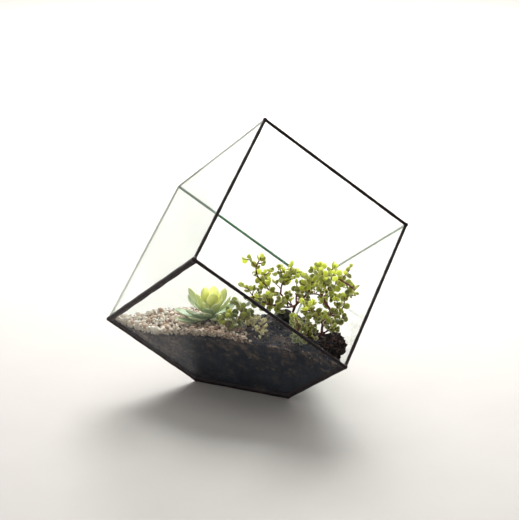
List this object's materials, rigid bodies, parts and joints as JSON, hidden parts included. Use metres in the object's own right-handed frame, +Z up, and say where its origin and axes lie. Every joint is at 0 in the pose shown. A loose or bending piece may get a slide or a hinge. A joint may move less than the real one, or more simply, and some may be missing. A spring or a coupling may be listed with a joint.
{
  "type": "geometric glass terrarium",
  "caption": "Soldered glass cube standing on a cut-off corner, one face open, planted with a small echeveria and an elephant bush in soil and gravel.",
  "frame": {"origin": "on the surface that it stands on, under the middle of the bounding box", "axes": "+Z up, the open face looks towards +X, -Y and +Z, -Y is the side that is usually seen"},
  "size_m": [0.2478, 0.2206, 0.2237],
  "materials": {
    "glass": "clear polished",
    "solder": "black patina, half-bright",
    "joint": "clear cured glue, faintly green",
    "soil": "damp potting soil",
    "gravel": "dry gravel",
    "stone": "smooth, slightly wet",
    "bark": "rough, damp",
    "rosette": "waxy leaf with a pale bloom",
    "bush": "glossy fleshy leaf with cream edges, maroon stem",
    "sprig": "dark fleshy leaf",
    "cover": "pale small leaf"
  },
  "bodies": {
    "root": {"pane_left": "glass", "pane_top": "glass", "pane_lower": "glass", "pane_right": "glass", "pane_back": "glass", "pane_base": "glass", "rim_bead_upper_right": "solder", "rim_bead_lower_right": "solder", "rim_bead_lower_left": "solder", "rim_bead_upper_left": "solder", "seam_left_lower": "solder", "seam_back_lower": "solder", "seam_right_lower": "solder", "base_seam_front": "solder", "base_seam_right": "solder", "base_seam_back": "solder", "seam_left_back": "joint", "seam_left_top": "joint", "seam_top_back": "joint", "seam_top_right": "joint", "seam_right_back": "joint", "soil": "soil", "gravel": "gravel", "stone_dark": "stone", "bark_chunk": "bark", "echeveria": "rosette", "bush_stem_main": "bush", "bush_stem_near": "bush", "bush_branch_left": "bush", "bush_branch_tall": "bush", "bush_branch_second": "bush", "bush_branch_middle": "bush", "bush_branch_crossing": "bush", "bush_branch_front": "bush", "bush_branch_right": "bush", "bush_branch_low": "bush", "bush_branch_side": "bush", "sprig_dark": "sprig", "sprig_dark_trailing": "sprig", "sprig_pale": "cover", "sprig_pale_small": "cover"}
  },
  "joints": []
}
